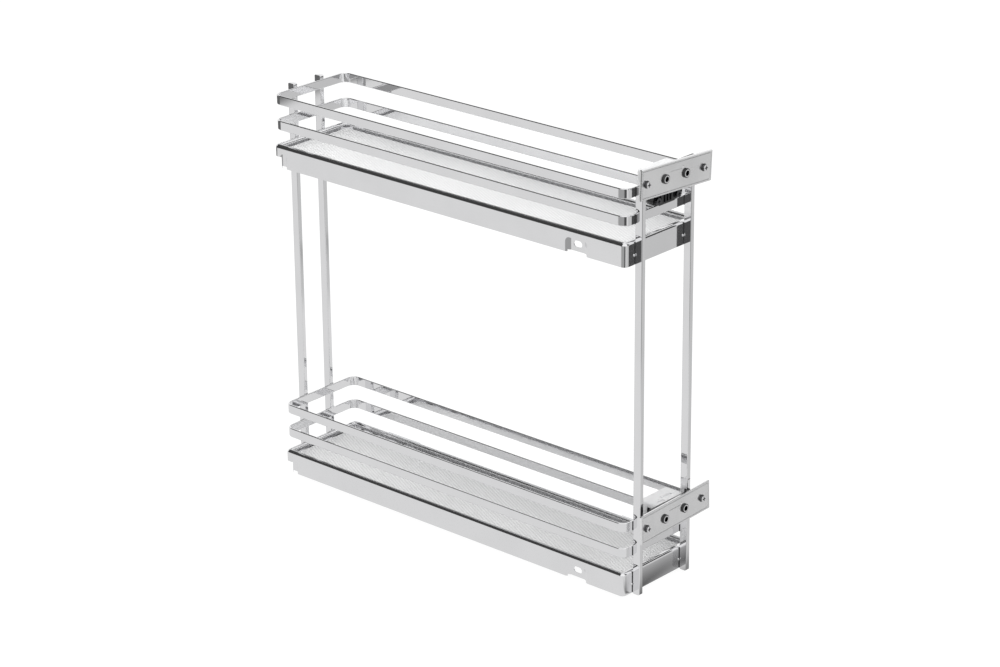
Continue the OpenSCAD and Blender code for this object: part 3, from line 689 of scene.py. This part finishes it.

# %% [markdown]
# The studio is a white sweep in a dark room, and the chrome maps it. Sides facing left mirror the
# pale floor behind them, ends facing the door mirror a greyer floor with a painted shadow near the
# unit, and what turns towards the camera mirrors the unlit room. The floor therefore has one
# brightness for each place in reflections, worked out from a few distances and bearings. Each
# zone below is a bearing in degrees from +X, anticlockwise from above and seen from the unit's
# front left corner, and the two cosines of the angle to it between which the zone fades in.

# %% What chrome sees on the floor
X, Y, Z = range(3)
FLOOR_Z = cad_low.z - 0.5e-3
FLOOR_REACH = 14.0
CORNER_INSET, NO_NEARER = 0.02, 0.01
CORNER = Vector((cad_low.x + CORNER_INSET, cad_low.y + CORNER_INSET, FLOOR_Z))
BEHIND_LEFT, IN_FRONT, TO_CAMERA, ROOM_DARK = 0.77, 0.60, 0.37, 0.085
FRONT_ZONE = (317.3, 0.35, 0.62)
CAMERA_ZONE = (195.0, 0.66, 0.78)
ROOM_ZONE = (227.0, 0.968, 0.984)
DOOR_ZONE = (290.0, 0.2, 0.6)
EDGE_NEAR, EDGE_FAR = 0.40, 0.75
DOOR_SHADE, DOOR_SHADE_REACH = 0.80, 0.052
FLOOR_END, FLOOR_END_FADE, FLOOR_END_SHADE = 1.325, 0.055, 0.82


def zone(x, y, reach, degrees, outer, inner):
    """1 round a bearing from the corner and 0 away from it."""
    turn = math.radians(degrees)
    return ((x * math.cos(turn) + y * math.sin(turn)) / reach).step(outer, inner)


def mirrored_floor(f):
    """Brightness of the floor in reflections."""
    x, y = f.axes()[:2]
    x, y = x - CORNER.x, y - CORNER.y
    reach = (x * x + y * y).power(0.5).larger(NO_NEARER)
    far = reach.step(EDGE_NEAR, EDGE_FAR)
    front = zone(x, y, reach, *FRONT_ZONE)
    camera_side = zone(x, y, reach, *CAMERA_ZONE) * far
    room = zone(x, y, reach, *ROOM_ZONE) * far
    # painted shadow: the floor just in front of the door end is darkened in reflections, as the unit's
    # contact shadow
    painted_contact_shadow = 1.0 - (y * -1.0).step(0.0, DOOR_SHADE_REACH)
    beyond = (y + CORNER.y).step(FLOOR_END, FLOOR_END + FLOOR_END_FADE)
    level = BEHIND_LEFT - front * (BEHIND_LEFT - IN_FRONT)
    level = level * (1.0 - camera_side) + camera_side * TO_CAMERA
    level = level * (1.0 - room) + room * ROOM_DARK
    level = level * (1.0 - beyond * FLOOR_END_SHADE)
    return level * (1.0 - painted_contact_shadow * zone(x, y, reach, *DOOR_ZONE) * DOOR_SHADE)


print("bearings of the zones:", [z[0] for z in (FRONT_ZONE, CAMERA_ZONE, ROOM_ZONE, DOOR_ZONE)])

# %% [markdown]
# The floor answers each kind of ray in its own way, and a Light Path node tells them apart. The
# camera sees white with the unit's soft shadow on it, chrome sees the map above, and all other
# light meets a matte floor, so that the unit is lit from below as on a real sweep.

# %% Floor
WHITE = (1.0, 1.0, 1.0, 1.0)
MATTE = (0.86, 0.86, 0.86, 1.0)
WHITE_GLOW = 1.1
WHITE_SHARE = 0.86


def floor_material():
    f = Finish("studio_floor")
    path = f.node("ShaderNodeLightPath").outputs
    matte = f.node("ShaderNodeBsdfDiffuse", Color=MATTE)
    white = f.node("ShaderNodeEmission", Color=WHITE, Strength=WHITE_GLOW)
    mapped = f.blend(mirrored_floor(f), (0.0, 0.0, 0.0), (1.0, 1.0, 1.0))
    sweep = f.node("ShaderNodeEmission", Color=mapped, Strength=1.0)
    seen = f.mixed(f.value(path["Is Camera Ray"]) * WHITE_SHARE, matte.outputs[0], white.outputs[0])
    return f.shown(f.mixed(path["Is Glossy Ray"], seen, sweep.outputs[0]))


def stage_plane(name, flat_axis, at, first, second, material):
    """A rectangle that is flat along one axis, between two limits along each of the others."""
    corners = []
    for i, j in ((0, 0), (1, 0), (1, 1), (0, 1)):
        corner = [first[i], second[j]]
        corner.insert(flat_axis, at)
        corners.append(corner)
    mesh = bpy.data.meshes.new(name)
    mesh.from_pydata(corners, [], [(0, 1, 2, 3)])
    mesh.materials.append(material)
    plane = added(name, mesh)
    return plane


FLOOR_SPAN = (-FLOOR_REACH, FLOOR_REACH)
stage_plane("studio_floor", Z, FLOOR_Z, FLOOR_SPAN, FLOOR_SPAN, floor_material())
print("floor at z =", round(FLOOR_Z, 4))

# %% [markdown]
# Rolled rims carry a black line because the curve looks past the floor at the unlit room. Three
# dark cards stand for that room: one at the left, one in front and one overhead. Only reflections
# see them, so they cost no light. Each glows a little more towards one edge, which gives the
# black line a soft side.

# %% Dark cards
CARD_AWAY = 1.9
ROOF_Z = 3.0


def card_material(name, axis, dark_at, light_at, dark, light):
    f = Finish(name)
    rise = f.axes()[axis].step(dark_at, light_at)
    tone = f.blend(rise, (dark, dark, dark), (light, light, light))
    return f.shown(f.node("ShaderNodeEmission", Color=tone, Strength=1.0).outputs[0])


def card(name, flat_axis, at, first, second, glow):
    plane = stage_plane(name, flat_axis, at, first, second, card_material(name, *glow))
    plane.visible_camera = False
    plane.visible_diffuse = False
    plane.visible_shadow = False
    return plane


cards = [
    card("left_card", X, CENTRE.x - CARD_AWAY, (0.3, 6.5), (0.02, 5.0), glow=(Z, 2.0, 6.0, 0.05, 0.20)),
    card("front_card", Y, CENTRE.y - CARD_AWAY, (0.3, 4.5), (0.35, 2.6), glow=(Z, 1.2, 2.6, 0.06, 0.45)),
    card("roof_card", Z, ROOF_Z, (-2.2, 3.4), (1.3, 5.0), glow=(X, 0.2, 3.0, 0.06, 0.75)),
]
print("cards:", [c.name for c in cards])

# %% [markdown]
# The world is white to the camera, to mirrors and to glass, and only half as strong as a light.
# Three soft boxes do the rest, and reflections don't see them. Together they light the unit at a
# plain level, so that a colour renders about as it is written.

# %% World and lamps
ROOM_LIGHT = 0.55
world = bpy.data.worlds.new("studio_room")
bpy.context.scene.world = world
world.use_nodes = True
room = Nodes(world.node_tree)
room.tree.nodes.clear()
ray = room.node("ShaderNodeLightPath").outputs
to_camera, to_mirror, to_glass = (
    room.value(ray[kind]) for kind in ("Is Camera Ray", "Is Glossy Ray", "Is Transmission Ray")
)
soft = room.node("ShaderNodeBackground", Color=WHITE, Strength=ROOM_LIGHT)
plain = room.node("ShaderNodeBackground", Color=WHITE, Strength=1.0)
either = room.mixed(to_camera.larger(to_mirror).larger(to_glass), soft.outputs[0], plain.outputs[0])
room.node("ShaderNodeOutputWorld", Surface=either)


def soft_box(name, offset, size, power):
    """A rectangular lamp at an offset from the middle of the unit, turned to face it."""
    lamp = bpy.data.lights.new(name, "AREA")
    lamp.shape = "RECTANGLE"
    lamp.size, lamp.size_y = size
    lamp.energy = power
    box = added(name, lamp)
    box.location = CENTRE + Vector(offset)
    box.rotation_mode = "QUATERNION"
    box.rotation_quaternion = (-Vector(offset)).to_track_quat("-Z", "Y")
    box.visible_glossy = False
    return box


lamps = [
    soft_box("overhead_box", (0.3, 0.5, 2.2), (2.4, 2.0), 34),
    soft_box("left_box", (-2.2, -0.6, 1.3), (1.6, 1.6), 14),
    soft_box("front_box", (0.6, -2.4, 1.2), (1.6, 1.4), 12),
]
print("lamps:", [(lamp.name, lamp.data.energy) for lamp in lamps])

# %% [markdown]
# The Standard view shows colours as they are written.

# %% Colour as it is
bpy.context.scene.view_settings.view_transform = "Standard"
